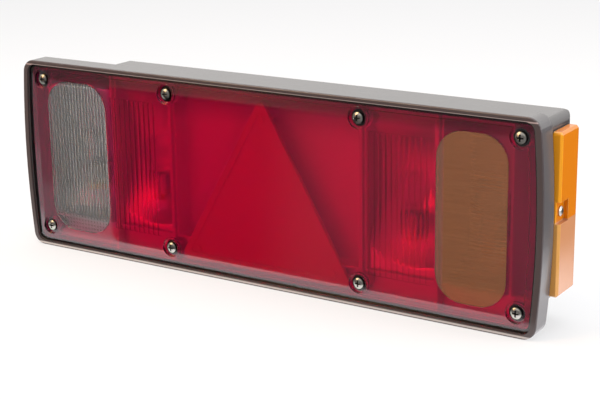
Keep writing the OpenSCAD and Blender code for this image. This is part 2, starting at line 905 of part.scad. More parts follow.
// A bayonet ring on an arm, folded from the plate that is riveted to the tray.
module holder(span) {
    color("#b9b39a")
        placed()
            translate([middle(span), 0, 0])
                difference() {
                    union() {
                        block([-holder_plate_w / 2, tray_floor - holder_t, holder_plate_z[0]],
                            [holder_plate_w / 2, tray_floor, holder_plate_z[1]]);
                        block([-holder_arm_x, bulb_y + holder_r - holder_t, holder_z[0]],
                            [holder_t - holder_arm_x, tray_floor, holder_z[1]]);
                        block([holder_arm_x - holder_t, bulb_y + holder_r - holder_t, holder_z[0]],
                            [holder_arm_x, tray_floor, holder_z[1]]);
                        block([-holder_arm_x, bulb_y + holder_r - holder_t, holder_z[0]],
                            [holder_arm_x, bulb_y + holder_r, holder_z[1]]);
                        translate([0, bulb_y, holder_z[0]])
                            cylinder(r = holder_r, h = holder_z[1] - holder_z[0]);
                    }
                    translate([0, bulb_y, holder_z[0] - over])
                        cylinder(r = holder_r - holder_t, h = holder_z[1] - holder_z[0] + 2 * over);
                    block([-holder_r - over, bulb_y - pin_slot / 2, pin_z - pin_slot / 2],
                        [holder_r + over, bulb_y + pin_slot / 2, holder_z[1] + over]);
                    for (z = rivet_z)
                        rod_y(0, z, rivet_dia + 2 * seat_gap, tray_floor - holder_t - over,
                            tray_floor + over);
                }
}

module reversing_holder() {
    holder(reversing_span);
}

module stop_holder() {
    holder(stop_span);
}

module fog_holder() {
    holder(fog_span);
}

module indicator_holder() {
    holder(indicator_span);
}

// A pear-shaped glass turned about its upright axis.
module bulb_glass(span) {
    globe_r = globe_dia / 2;
    neck_r = cap_dia / 2 - 0.8;
    globe_z = glass_l - globe_r;
    join = sqrt(globe_r * globe_r - neck_r * neck_r);
    profile = concat(
        [[0, 0], [neck_r, 0], [neck_r, globe_z - join]],
        [for (k = [1:12])
            let (start = -acos(neck_r / globe_r))
            let (a = start + (90 - start) * k / 12)
            [k == 12 ? 0 : globe_r * cos(a), globe_z + globe_r * sin(a)]]
    );
    placed()
        translate([middle(span), bulb_y, cap_top_z])
            rotate_extrude()
                polygon(profile);
}

module reversing_glass() {
    color("#e8eef0")
        bulb_glass(reversing_span);
}

module stop_glass() {
    color("#e8eef0")
        bulb_glass(stop_span);
}

module fog_glass() {
    color("#e8eef0")
        bulb_glass(fog_span);
}

module indicator_glass() {
    color("#e8902a")
        bulb_glass(indicator_span);
}

// The cap with its two side pins and the solder foot.
module bulb_cap(span) {
    color("#c8b273")
        placed()
            translate([middle(span), bulb_y, bulb_foot_z])
                union() {
                    translate([0, 0, foot_h])
                        cylinder(d = cap_dia, h = cap_l - foot_h);
                    cylinder(d1 = 5, d2 = 7, h = foot_h + eps);
                    translate([0, 0, pin_z - bulb_foot_z])
                        rotate([0, 90, 0])
                            cylinder(d = pin_dia, h = cap_dia + 3.2, center = true);
                }
}

module reversing_cap() {
    bulb_cap(reversing_span);
}

module stop_cap() {
    bulb_cap(stop_span);
}

module fog_cap() {
    bulb_cap(fog_span);
}

module indicator_cap() {
    bulb_cap(indicator_span);
}

// A spring strip that stands on the tray and reaches under the bulb's foot.
module contact(span) {
    color("#c9a24a")
        placed()
            translate([middle(span), 0, 0])
                union() {
                    block([-contact_w / 2, contact_y, bulb_foot_z - contact_t],
                        [contact_w / 2, tray_floor, bulb_foot_z]);
                    block([-contact_w / 2, tray_floor - contact_t, bulb_foot_z - contact_drop],
                        [contact_w / 2, tray_floor, bulb_foot_z]);
                    block([-contact_w / 2, contact_y, bulb_foot_z - contact_lip],
                        [contact_w / 2, contact_y + contact_t, bulb_foot_z]);
                }
}

module reversing_contact() {
    contact(reversing_span);
}

module stop_contact() {
    contact(stop_span);
}

module fog_contact() {
    contact(fog_span);
}

module indicator_contact() {
    contact(indicator_span);
}

module holder_rivets() {
    color("#b0b0b0")
        placed()
            for (span = [reversing_span, stop_span, fog_span, indicator_span])
                for (z = rivet_z)
                    union() {
                        rod_y(middle(span), z, rivet_head, tray_floor - holder_t - rivet_head_h,
                            tray_floor - holder_t);
                        rod_y(middle(span), z, rivet_dia, tray_floor - holder_t - eps, rear_inner - seat_gap);
                    }
}

// Wiring and fastenings

// A moulded block with a wire mouth under each screw.
module terminal_block() {
    color("#e4e0d2")
        placed()
            difference() {
                block([middle_x - terminal_w / 2, rear_inner - terminal_t, terminal_z - terminal_h / 2],
                    [middle_x + terminal_w / 2, rear_inner, terminal_z + terminal_h / 2]);
                for (x = terminal_x) {
                    rod_y(x, terminal_z, terminal_screw_dia + 2 * seat_gap, rear_inner - terminal_t - over,
                        rear_inner - terminal_t / 2);
                    translate([x, rear_inner - terminal_t * 0.35, terminal_z - terminal_h / 2 - over])
                        cylinder(d = terminal_mouth, h = terminal_h / 2 - 2);
                }
            }
}

module terminal_screws() {
    color("#c8b273")
        placed()
            for (x = terminal_x)
                translate([x, rear_inner - terminal_t, terminal_z])
                    difference() {
                        rod_y(0, 0, terminal_screw_dia, 2, terminal_t / 2);
                        block([-terminal_screw_dia, 1, -0.5], [terminal_screw_dia, 3, 0.5]);
                    }
}

module earth_strip() {
    color("#c9a24a")
        placed()
            difference() {
                block([middle_x - strip_half_l, rear_inner - strip_t, strip_z - strip_h / 2],
                    [middle_x + strip_half_l, rear_inner, strip_z + strip_h / 2]);
                for (x = strip_holes)
                    rod_y(x, strip_z, strip_screw_dia + 2 * seat_gap, rear_inner - strip_t - over,
                        rear_inner + over);
            }
}

module earth_strip_screws() {
    color("#b9b9b4")
        placed()
            for (x = strip_holes)
                translate([x, 0, strip_z])
                    union() {
                        rod_y(0, 0, strip_screw_head, rear_inner - strip_t - 1.8, rear_inner - strip_t);
                        rod_y(0, 0, strip_screw_dia, rear_inner - strip_t - eps, rear_inner - seat_gap);
                    }
}

// A rubber grommet with a groove that grips the edge of the cable entry.
module cable_grommet() {
    lip = 3;
    lip_t = 2.5;
    cone_l = 10;
    bore = entry_dia * 0.42;
    color("#1c1c1c")
        placed()
            translate([entry_x, 0, entry_z])
                difference() {
                    union() {
                        rod_y(0, 0, entry_dia + 2 * lip, rear_inner - lip_t, rear_inner);
                        rod_y(0, 0, entry_dia - 2 * seat_gap, rear_inner - over, lamp_d + over);
                        rod_y(0, 0, entry_dia + 2 * lip, lamp_d, lamp_d + lip_t);
                        translate([0, lamp_d + cone_l, 0])
                            rotate([90, 0, 0])
                                cylinder(d1 = entry_dia * 0.62, d2 = entry_dia, h = cone_l - lip_t + over);
                    }
                    rod_y(0, 0, bore, rear_inner - lip_t - over, lamp_d + cone_l + over);
                }
}

module vent_plug() {
    color("#26262a")
        placed()
            translate([vent_x, 0, vent_z])
                difference() {
                    union() {
                        rod_y(0, 0, vent_dia - 2 * seat_gap, rear_inner - over, lamp_d + over);
                        rod_y(0, 0, vent_dia * 2, lamp_d, lamp_d + vent_cap_t);
                        rod_y(0, 0, vent_dia * 1.25, rear_inner - 2, rear_inner);
                    }
                    rod_y(0, 0, vent_dia / 3, rear_inner - 3, lamp_d + vent_cap_t - over);
                }
}

// Studs with a flat head inside and a knurled neck that sits in the wall.
module mounting_studs() {
    color("#c4c6c8")
        placed()
            for (x = [-stud_x, stud_x])
                for (z = [-stud_z, stud_z])
                    translate([x, 0, z])
                        union() {
                            rod_y(0, 0, stud_head_dia, rear_inner - stud_head_t, rear_inner);
                            rod_y(0, 0, stud_neck_dia, rear_inner - eps, lamp_d);
                            rod_y(0, 0, stud_dia, lamp_d - eps, lamp_d + stud_l - stud_tip);
                            translate([0, lamp_d + stud_l, 0])
                                rotate([90, 0, 0])
                                    cylinder(d1 = stud_dia - 2 * stud_tip, d2 = stud_dia, h = stud_tip);
                        }
}

// Side marker

module marker_shape(inside) {
    polygon(rounded_points(marker_y[0] + inside, marker_span_z[0] + inside, marker_y[1] - inside,
        marker_span_z[1] - inside, max(marker_r - inside, least_r)));
}

module marker_gasket() {
    color("#1a1a1a")
        placed()
            difference() {
                along_x(marker_base, marker_foot)
                    marker_shape(0.4);
                along_x(marker_base - over, marker_foot + over)
                    marker_shape(marker_t + 0.4);
            }
}

// An amber shell with a chamfered face and a screw recess in its front half.
module marker_lens() {
    recess_low = recess_z - recess_h / 2;
    recess_high = recess_z + recess_h / 2;
    recess_x = marker_face - recess_d;
    color("#e2840d")
        placed()
            difference() {
                union() {
                    difference() {
                        hull() {
                            along_x(marker_foot, marker_face - marker_chamfer)
                                marker_shape(0);
                            along_x(marker_face - eps, marker_face)
                                marker_shape(marker_chamfer);
                        }
                        along_x(marker_foot - over, marker_face - marker_t)
                            marker_shape(marker_t);
                    }
                    block([marker_foot, marker_y[0] + marker_t / 2, recess_low - marker_t],
                        [marker_face - marker_t / 2, recess_y1 + marker_t, recess_high + marker_t]);
                }
                block([recess_x, marker_y[0] - over, recess_low],
                    [marker_face + over, recess_y1, recess_high]);
                rod_x(marker_screw_y, recess_z, marker_screw_dia + 0.5, marker_foot - over, marker_face);
            }
}

module marker_reflex() {
    low = marker_span_z[0] + marker_t + 1.5;
    high = recess_z - recess_h / 2 - marker_t - 1;
    color("#d9a06a")
        placed()
            block([marker_face - marker_t - 2, marker_y[0] + marker_t + 1, low],
                [marker_face - marker_t, marker_y[1] - marker_t - 1, high]);
}

module marker_screw() {
    color("#c9c9c6")
        placed()
            translate([marker_face - recess_d, marker_screw_y, recess_z])
                rotate([0, 0, 90])
                    pan_screw(marker_screw_head, 2, marker_screw_dia, marker_screw_l);
}

// Two upright strips whose holes grip the tapered ends of the festoon bulb.
module marker_clips() {
    floor_x = marker_base - well_d;
    grip_z = festoon_l / 2 - clip_grip;
    hole_dia = festoon_tip + (festoon_dia - 1 - festoon_tip) * clip_grip / festoon_taper + 2 * seat_gap;
    color("#c9a24a")
        placed()
            translate([festoon_x, marker_mid_y, festoon_z])
                for (turn = [0, 180])
                    rotate([turn, 0, 0])
                        difference() {
                            block([floor_x - festoon_x, -clip_w / 2, grip_z],
                                [clip_reach, clip_w / 2, grip_z + clip_t]);
                            translate([0, 0, grip_z - over])
                                cylinder(d = hole_dia, h = clip_t + 2 * over);
                        }
}

module festoon_glass() {
    color("#e8eef0")
        placed()
            translate([festoon_x, marker_mid_y, festoon_z])
                cylinder(d = festoon_dia, h = festoon_l - 2 * festoon_cap_l, center = true);
}

module festoon_caps() {
    color("#b9b9b4")
        placed()
            translate([festoon_x, marker_mid_y, festoon_z])
                for (turn = [0, 180])
                    rotate([turn, 0, 0])
                        translate([0, 0, festoon_l / 2 - festoon_cap_l])
                            union() {
                                cylinder(d = festoon_dia - 1, h = festoon_cap_l - festoon_taper);
                                translate([0, 0, festoon_cap_l - festoon_taper])
                                    cylinder(d1 = festoon_dia - 1, d2 = festoon_tip, h = festoon_taper);
                            }
}

housing();
lens_gasket();
red_lens();
reversing_window();
indicator_window();
lens_screws();
triangle_reflector();
triangle_caps();
reversing_tray();
stop_tray();
fog_tray();
indicator_tray();
middle_plate();
reversing_holder();
stop_holder();
fog_holder();
indicator_holder();
reversing_glass();
stop_glass();
fog_glass();
indicator_glass();
reversing_cap();
stop_cap();
fog_cap();
indicator_cap();
reversing_contact();
stop_contact();
fog_contact();
indicator_contact();
holder_rivets();
terminal_block();
terminal_screws();
earth_strip();
earth_strip_screws();
cable_grommet();
vent_plug();
mounting_studs();
marker_gasket();
marker_lens();
marker_reflex();
marker_screw();
marker_clips();
festoon_glass();
festoon_caps();
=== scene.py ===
"""Dresses the rear combination lamp: its finishes, its moulded detail, the light and the camera."""

from __future__ import annotations

import logging
import math
from dataclasses import dataclass, field, replace
from enum import Enum

import bpy
import numpy as np
from mathutils import Matrix, Quaternion, Vector

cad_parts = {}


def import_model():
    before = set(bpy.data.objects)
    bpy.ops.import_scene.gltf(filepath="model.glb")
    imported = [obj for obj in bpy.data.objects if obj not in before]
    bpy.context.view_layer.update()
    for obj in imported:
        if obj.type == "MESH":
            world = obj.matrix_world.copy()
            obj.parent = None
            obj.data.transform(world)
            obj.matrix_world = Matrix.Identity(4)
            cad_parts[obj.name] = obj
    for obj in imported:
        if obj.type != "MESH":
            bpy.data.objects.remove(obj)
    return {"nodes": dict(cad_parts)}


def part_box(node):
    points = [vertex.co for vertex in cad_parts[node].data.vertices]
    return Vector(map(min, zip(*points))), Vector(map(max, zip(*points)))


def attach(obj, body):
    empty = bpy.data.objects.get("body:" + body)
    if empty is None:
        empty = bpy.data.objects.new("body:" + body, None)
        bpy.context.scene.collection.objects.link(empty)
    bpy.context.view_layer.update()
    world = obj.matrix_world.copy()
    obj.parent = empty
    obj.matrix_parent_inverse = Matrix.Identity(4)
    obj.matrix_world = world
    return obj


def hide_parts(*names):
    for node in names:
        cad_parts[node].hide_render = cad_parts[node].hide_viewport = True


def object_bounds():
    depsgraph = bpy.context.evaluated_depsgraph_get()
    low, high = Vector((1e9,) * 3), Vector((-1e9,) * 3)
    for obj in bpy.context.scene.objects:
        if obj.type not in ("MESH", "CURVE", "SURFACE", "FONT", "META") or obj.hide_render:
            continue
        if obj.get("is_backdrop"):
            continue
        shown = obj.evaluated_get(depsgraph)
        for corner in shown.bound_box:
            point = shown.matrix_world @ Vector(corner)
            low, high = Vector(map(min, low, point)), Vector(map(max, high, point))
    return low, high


Tree = bpy.types.NodeTree
Socket = bpy.types.NodeSocket

LOG = logging.getLogger("lamp")
MM = 0.001
BODY = "root"
# Planes past the lamp's ends, front, foot and top in millimetres, for zones that run across it.
LEFT, RIGHT, AHEAD, BELOW, ABOVE = -230.0, 230.0, -60.0, -80.0, 80.0
# The front face of the side marker lies at y = -36.5 mm, and its chamfer ends here.
MARKER_FRONT = -34.7
# The white paper under the lamp ends here, in metres along Y.
PAPER_FRONT = -0.086
# How many finer layers lie over the clouds of a shade, and over a relief.
CLOUD_DETAIL, RELIEF_DETAIL = 3.0, 2.0
# Rays that look for an edge's painted highlight line, and that round off an edge.
EDGE_SAMPLES, ROUNDING_SAMPLES = 8, 6
# The cosine between the rounded and flat normal where an edge's painted highlight starts and is
# full.
EDGE_STARTS, EDGE_FULL = 0.97, 0.85


def linear(colour: str) -> tuple[float, float, float, float]:
    """Turns an sRGB hex colour into the linear colour that a shader works with.

    Args:
        colour: Six hex digits after a hash.

    Returns:
        Red, green, blue and an alpha of 1.
    """
    parts = [int(colour[i : i + 2], 16) / 255 for i in (1, 3, 5)]
    low, high = [c / 12.92 for c in parts], [((c + 0.055) / 1.055) ** 2.4 for c in parts]
    red, green, blue = [a if c <= 0.04045 else b for a, b, c in zip(low, high, parts)]
    return red, green, blue, 1.0


def add_node(
    tree: Tree,
    kind: str,
    settings: dict[str, object] | None = None,
    inputs: dict[str | int, object] | None = None,
) -> bpy.types.Node:
    """Adds one shader node, sets it and links it.

    Args:
        tree: The node tree that takes the node.
        kind: The node's type name.
        settings: Values for the node's own properties.
        inputs: For each input socket a value, or the output socket that feeds it.

    Returns:
        The new node.
    """
    node = tree.nodes.new(kind)
    for name, value in (settings or {}).items():
        setattr(node, name, value)
    for name, value in (inputs or {}).items():
        if isinstance(value, bpy.types.NodeSocket):
            tree.links.new(value, node.inputs[name])
        else:
            node.inputs[name].default_value = value
    return node


class Relief(Enum):
    """What the surface of a finish looks like close up."""

    PLAIN = "plain"
    MOULD_GRAIN = "fine spark-eroded grain of a steel mould"
    ORANGE_PEEL = "slow waves of a lacquer or a polished moulding"
    ROLLED = "straight lines that rolls leave in strip metal"
    LEVEL = "level ripples along a row of moulded ribs"


# How far the patterns of a relief are drawn out: the smaller the scale, the longer the lines.
DRAWN_OUT: dict[Relief, tuple[float, float, float]] = {
    Relief.ROLLED: (1.0, 1.0, 0.02),
    Relief.LEVEL: (0.05, 1.0, 1.0),
}


@dataclass(frozen=True)
class Zone:
    """A box of the object, in millimetres, in which a finish has another colour."""

    low: tuple[float, float, float]
    high: tuple[float, float, float]
    colour: str
    blur_mm: float = 0.02

    def share(self, tree: Tree, place: Socket) -> Socket:
        """Returns 1 inside the box and 0 outside it, with a soft edge as wide as the blur.

        The distance from the box is the largest of |p - middle| - half over the three axes.

        Args:
            tree: The material's node tree.
            place: The object coordinates.

        Returns:
            The share of the zone's colour.
        """
        middle = [(a + b) / 2 * MM for a, b in zip(self.low, self.high)]
        half = [(b - a) / 2 * MM for a, b in zip(self.low, self.high)]
        vector = place
        for operation, values in (
            ("SUBTRACT", {1: middle}),
            ("ABSOLUTE", {}),
            ("SUBTRACT", {1: half}),
        ):
            step = add_node(
                tree, "ShaderNodeVectorMath", {"operation": operation}, {0: vector, **values}
            )
            vector = step.outputs[0]
        axes = add_node(tree, "ShaderNodeSeparateXYZ", {}, {0: vector}).outputs
        most = axes[0]
        for axis in axes[1:]:
            larger = add_node(tree, "ShaderNodeMath", {"operation": "MAXIMUM"}, {0: most, 1: axis})
            most = larger.outputs[0]
        soft = self.blur_mm / 2 * MM
        edge = add_node(
            tree,
            "ShaderNodeMapRange",
            {"interpolation_type": "SMOOTHSTEP"},
            {0: most, 1: -soft, 2: soft, 3: 1.0, 4: 0.0},
        )
        return edge.outputs[0]


@dataclass(frozen=True)
class Finish:
    """One real material with the process that made its surface."""

    name: str
    colour: str
    roughness: float
    metallic: float = 0.0
    transmission: float = 0.0
    ior: float = 1.5
    relief: Relief = Relief.PLAIN
    relief_mm: float = 1.0
    relief_height_mm: float = 0.02
    shade: str = ""
    shade_mm: float = 40.0
    edge_mm: float = 0.0
    edge_highlight: str = ""
    coat: float = 0.0
    zones: tuple[Zone, ...] = ()

    def build(self) -> bpy.types.Material:
        """Makes the material.

        Returns:
            The Blender material, named after the finish.
        """
        material = bpy.data.materials.new(self.name)
        material.use_nodes = True
        tree = material.node_tree
        tree.nodes.clear()
        place = add_node(tree, "ShaderNodeTexCoord").outputs["Object"]
        inputs: dict[str | int, object] = {
            "Base Color": self.coloured(tree, place),
            "Roughness": self.roughness,
            "Metallic": self.metallic,
            "Transmission Weight": self.transmission,
            "Coat Weight": self.coat,
        }
        if not self.metallic:
            inputs["IOR"] = self.ior
        normal = self.normal_socket(tree, place)
        if normal:
            inputs["Normal"] = normal
        shader = add_node(tree, "ShaderNodeBsdfPrincipled", {}, inputs)
        add_node(tree, "ShaderNodeOutputMaterial", {}, {"Surface": shader.outputs[0]})
        return material

    def coloured(self, tree: Tree, place: Socket) -> object:
        """Lays soft clouds of the shade, the painted highlights along edges and each zone's colour
        over the colour.

        Args:
            tree: The material's node tree.
            place: The object coordinates.

        Returns:
            The socket of the mixed colour, or the colour itself where nothing lies over it.
        """
        layers: list[tuple[Socket, str]] = []
        if self.shade:
            clouds = add_node(
                tree,
                "ShaderNodeTexNoise",
                {},
                {
                    "Vector": self.along_the_lines(tree, place),
                    "Scale": 1 / (self.shade_mm * MM),
                    "Detail": CLOUD_DETAIL,
                },
            )
            layers.append((clouds.outputs["Fac"], self.shade))
        if self.edge_highlight:
            layers.append((self.edge_highlight_share(tree), self.edge_highlight))
        layers += [(zone.share(tree, place), zone.colour) for zone in self.zones]
        colour: object = linear(self.colour)
        for share, over in layers:
            mix = add_node(
                tree,
                "ShaderNodeMix",
                {"data_type": "RGBA"},
                {0: share, 6: colour, 7: linear(over)},
            )
            colour = mix.outputs[2]
        return colour

    def along_the_lines(self, tree: Tree, place: Socket) -> Socket:
        """Draws a pattern out along Z for rolled metal and along X for level ripples.

        Args:
            tree: The material's node tree.
            place: The object coordinates.

        Returns:
            The drawn-out coordinates, or the same ones for any other relief.
        """
        if self.relief not in DRAWN_OUT:
            return place
        lines = add_node(
            tree, "ShaderNodeMapping", {}, {"Vector": place, "Scale": DRAWN_OUT[self.relief]}
        )
        return lines.outputs["Vector"]

    def edge_highlight_share(self, tree: Tree) -> Socket:
        """Returns 1 where the rounded normal turns away from the face's own, along an edge, for a
        painted highlight.

        Args:
            tree: The material's node tree.

        Returns:
            The share of the edge's painted highlight, worked out from the cosine between the two
            normals.
        """
        rounded = add_node(
            tree, "ShaderNodeBevel", {"samples": EDGE_SAMPLES}, {"Radius": self.edge_mm * MM}
        )
        flat = add_node(tree, "ShaderNodeNewGeometry")
        match = add_node(
            tree,
            "ShaderNodeVectorMath",
            {"operation": "DOT_PRODUCT"},
            {0: rounded.outputs["Normal"], 1: flat.outputs["Normal"]},
        )
        edge = add_node(
            tree,
            "ShaderNodeMapRange",
            {},
            {0: match.outputs["Value"], 1: EDGE_STARTS, 2: EDGE_FULL, 3: 0.0, 4: 1.0},
        )
        return edge.outputs[0]

    def normal_socket(self, tree: Tree, place: Socket) -> Socket | None:
        """Rounds the edges and adds the relief.

        Args:
            tree: The material's node tree.
            place: The object coordinates.

        Returns:
            The normal, or None if the finish has neither.
        """
        normal = None
        if self.edge_mm:
            rounded = add_node(
                tree,
                "ShaderNodeBevel",
                {"samples": ROUNDING_SAMPLES},
                {"Radius": self.edge_mm * MM},
            )
            normal = rounded.outputs["Normal"]
        if self.relief is Relief.PLAIN:
            return normal
        pattern = add_node(
            tree,
            "ShaderNodeTexNoise",
            {},
            {
                "Vector": self.along_the_lines(tree, place),
                "Scale": 1 / (self.relief_mm * MM),
                "Detail": RELIEF_DETAIL,
            },
        )
        inputs: dict[str | int, object] = {
            "Height": pattern.outputs["Fac"],
            "Distance": self.relief_height_mm * MM,
            "Strength": 1.0,
        }
        if normal:
            inputs["Normal"] = normal
        return add_node(tree, "ShaderNodeBump", {}, inputs).outputs["Normal"]


# Glass-filled polypropylene, injection moulded: dark grey, with a satin sheen from its fine grain
# and a painted highlight along its edges.
HOUSING = Finish(
    "polypropylene_moulded",
    "#5c5959",
    0.22,
    relief=Relief.MOULD_GRAIN,
    relief_mm=0.35,
    relief_height_mm=0.003,
    shade="#545152",
    shade_mm=30,
    edge_mm=0.7,
    edge_highlight="#a9a5a3",
    zones=(
        # Painted shade: the front rim is darker and browner than the sides.
        Zone((LEFT, AHEAD, BELOW), (RIGHT, -54.6, ABOVE), "#463d3d", 0.6),
        # Painted highlights: a thin pale line along the rim's foot, and a fainter one along its
        # top.
        Zone((LEFT, AHEAD, -73.9), (RIGHT, -55.3, -72.5), "#b4b0ae", 0.4),
        Zone((LEFT, AHEAD, 71.3), (RIGHT, -55.3, 72.2), "#a08e8d", 0.3),
        # Painted shadow: the body's right end is dark behind the marker.
        Zone((212.0, -37.2, BELOW), (RIGHT, 5.0, ABOVE), "#4b4848", 0.5),
        # A coat of silver lacquer lines the lamp chambers from the stop lamp to the right end: the
        # first box is the part inside the collar, and the second the part inside the deep body.
        Zone((-137.5, -50.4, -68.1), (214.0, -39.3, 68.1), "#e4e4e2"),
        Zone((-137.5, -39.6, -51.2), (214.6, -2.4, 68.1), "#e4e4e2"),
    ),
)
# Transparent acrylic, injection moulded in red and polished by its mould: deep colour, sharp gloss.
# Its top border is deeper in colour, partly from the thicker moulding and partly as painted shade.
RED_LENS = Finish(
    "acrylic_red_moulded",
    "#ee2277",
    0.2,
    transmission=1.0,
    ior=1.49,
    relief=Relief.ORANGE_PEEL,
    relief_mm=9,
    relief_height_mm=0.03,
    edge_mm=0.4,
    coat=1.0,
    zones=(Zone((LEFT, AHEAD, 61.0), (RIGHT, -40.0, ABOVE), "#b81f62", 8.0),),
)
# The same acrylic, water clear, with a grey tint that paints in the shade of the dark chamber
# behind.
CLEAR_LENS = Finish("acrylic_clear_fluted", "#c0c4c6", 0.04, transmission=0.94, ior=1.49)
# The same acrylic in amber, with painted shade in level lines between its ribs and a duller left
# border.
AMBER_LENS = Finish(
    "acrylic_amber_ribbed",
    "#c48d68",
    0.08,
    transmission=0.72,
    ior=1.49,
    relief=Relief.LEVEL,
    relief_mm=1.6,
    relief_height_mm=0.12,
    shade="#ab7650",
    shade_mm=1.7,
    zones=(Zone((142.0, AHEAD, BELOW), (149.5, -40.0, ABOVE), "#ad8270", 0.3),),
)
# Amber acrylic over a white chamber, with a painted highlight along its edges: full orange above,
# paler over the prisms.
MARKER_LENS = Finish(
    "acrylic_amber_marker",
    "#d87b06",
    0.1,
    transmission=0.1,
    ior=1.49,
    edge_mm=0.6,
    edge_highlight="#f2b54c",
    zones=(
        # The lower half of its sides, and then the upper and the lower half of its face.
        # The lower zones are paler: partly the prisms' own milky look, partly a painted sheen.
        Zone((200.0, AHEAD, BELOW), (RIGHT, 0.0, 2.0), "#ca8c60"),
        Zone((200.0, AHEAD, 2.0), (RIGHT, MARKER_FRONT, ABOVE), "#eb9c1a", 0.5),
        Zone((200.0, AHEAD, BELOW), (RIGHT, MARKER_FRONT, 2.0), "#dca054", 0.5),
    ),
)
# Red acrylic backed by its own corner prisms, which send the daylight back: a pale, milky red.
REFLEX_RED = Finish(
    "acrylic_red_reflex", "#e09aa0", 0.3, relief=Relief.ORANGE_PEEL, relief_mm=2.0
)
# The same in amber: a pale orange.
REFLEX_AMBER = Finish(
    "acrylic_amber_reflex", "#e2a878", 0.2, relief=Relief.ORANGE_PEEL, relief_mm=2.0
)
# Aluminium evaporated on moulded plastic: a mirror with the slow waves of the plastic under it.
METALLISED = Finish(
    "aluminium_evaporated",
    "#dedfe0",
    0.36,
    metallic=0.6,
    relief=Relief.ORANGE_PEEL,
    relief_mm=12,
    relief_height_mm=0.02,
)
# The same metal on the curved reflectors, a little hazy: it throws one soft streak of key light.
BOWL_MIRROR = Finish("aluminium_evaporated_bowl", "#e6e4e2", 0.34, metallic=1.0)
# Polystyrene with a sprayed coat of pale silver lacquer: bright and even, with painted shade to its
# top.
LACQUERED = Finish(
    "polystyrene_silver_lacquered",
    "#ecebe8",
    0.5,
    relief=Relief.ORANGE_PEEL,
    relief_mm=6,
    relief_height_mm=0.05,
    zones=(Zone((LEFT, AHEAD, 48.0), (RIGHT, 0.0, 90.0), "#b4b0b0", 24.0),),
)
# Steel, zinc plated and passivated: bright, with faint warm clouds.
ZINC = Finish(
    "steel_zinc_plated", "#c6c3be", 0.26, metallic=1.0, shade="#a39e95", shade_mm=3, edge_mm=0.15
)
# The lens screws, with painted shade in their cross recesses and at the rim of their heads.
LENS_SCREW = replace(
    ZINC,
    name="steel_zinc_plated_painted_shade",
    zones=(Zone((LEFT, -54.15, BELOW), (RIGHT, -30.0, ABOVE), "#2a2725", 0.2),),
)
# Brass strip: yellow, with the fine lines of its rolling.
BRASS = Finish(
    "brass_rolled_strip",
    "#cfae62",
    0.3,
    metallic=1.0,
    relief=Relief.ROLLED,
    relief_mm=0.4,
    relief_height_mm=0.01,
)
# Brass with a thin wash of nickel: pale, with a warm tint where the brass shows through.
CAP_METAL = Finish(
    "brass_nickel_washed", "#c9bd9c", 0.22, metallic=1.0, shade="#b5a982", shade_mm=6
)
# Blown glass: clear and glossy.
BULB_GLASS = Finish("glass_blown_clear", "#f6f8f8", 0.01, transmission=1.0, ior=1.5)
# Moulded rubber: black and dull.
RUBBER = Finish(
    "rubber_moulded",
    "#1b1b1c",
    0.7,
    relief=Relief.MOULD_GRAIN,
    relief_mm=0.5,
    relief_height_mm=0.02,
)
# Undyed polyamide, moulded: a warm, slightly dull white.
NATURAL_PLASTIC = Finish("polyamide_natural_moulded", "#e2dccb", 0.45, relief=Relief.MOULD_GRAIN)

NODE_FINISHES: dict[str, Finish] = {
    "housing": HOUSING,
    "lens_gasket": RUBBER,
    "red_lens": RED_LENS,
    "reversing_window": CLEAR_LENS,
    "indicator_window": AMBER_LENS,
    "lens_screws": LENS_SCREW,
    "triangle_reflector": REFLEX_RED,
    "triangle_caps": REFLEX_RED,
    "middle_plate": LACQUERED,
    "holder_rivets": ZINC,
    "terminal_block": NATURAL_PLASTIC,
    "terminal_screws": BRASS,
    "earth_strip": BRASS,
    "earth_strip_screws": ZINC,
    "cable_grommet": RUBBER,
    "vent_plug": HOUSING,
    "mounting_studs": ZINC,
    "marker_gasket": RUBBER,
    "marker_lens": MARKER_LENS,
    "marker_reflex": REFLEX_AMBER,
    "marker_screw": ZINC,
    "marker_clips": BRASS,
    "festoon_glass": BULB_GLASS,
    "festoon_caps": CAP_METAL,
}
# Each of the four lamps has these pieces, and their names end in these words.
BULB_FINISHES: dict[str, Finish] = {
    "tray": METALLISED,
    "holder": ZINC,
    "glass": BULB_GLASS,
    "cap": CAP_METAL,
    "contact": BRASS,
}


@dataclass
class Wardrobe:
    """Builds each finish once and puts it on nodes and pieces."""

    made: dict[str, bpy.types.Material] = field(default_factory=dict)

    def get(self, finish: Finish) -> bpy.types.Material:
        """Makes a finish the first time that it is asked for.

        Args:
            finish: The finish that is wanted.

        Returns:
            Its material.
        """
        if finish.name not in self.made:
            self.made[finish.name] = finish.build()
        return self.made[finish.name]

    def dress(self, thing: bpy.types.Object, finish: Finish) -> None:
        """Puts one finish on every slot of an object.

        Args:
            thing: The object to dress.
            finish: The finish that it gets.
        """
        material = self.get(finish)
        if not thing.material_slots:
            thing.data.materials.append(material)
        for slot in thing.material_slots:
            slot.material = material
        LOG.info("%s wears %s", thing.name, finish.name)


def grid_faces(rows: int, columns: int, first: int = 0, wrap: bool = False) -> np.ndarray:
    """Lists the four corners of every face of a grid of points.

    Point (i, j) has the number first + i * columns + j. A face joins (i, j), (i, j + 1),
    (i + 1, j + 1) and (i + 1, j).

    Args:
        rows: How many rows of points the grid has.
        columns: How many points a row has.
        first: The number of the grid's first point.
        wrap: Whether the last column joins the first.

    Returns:
        An array with one row of four point numbers for each face.
    """
    across = columns if wrap else columns - 1
    i, j = np.meshgrid(np.arange(rows - 1), np.arange(across), indexing="ij")
    after = (j + 1) % columns
    here, above = i * columns, (i + 1) * columns
    corners = [here + j, here + after, above + after, above + j]
    return first + np.stack(corners, axis=-1).reshape(-1, 4)


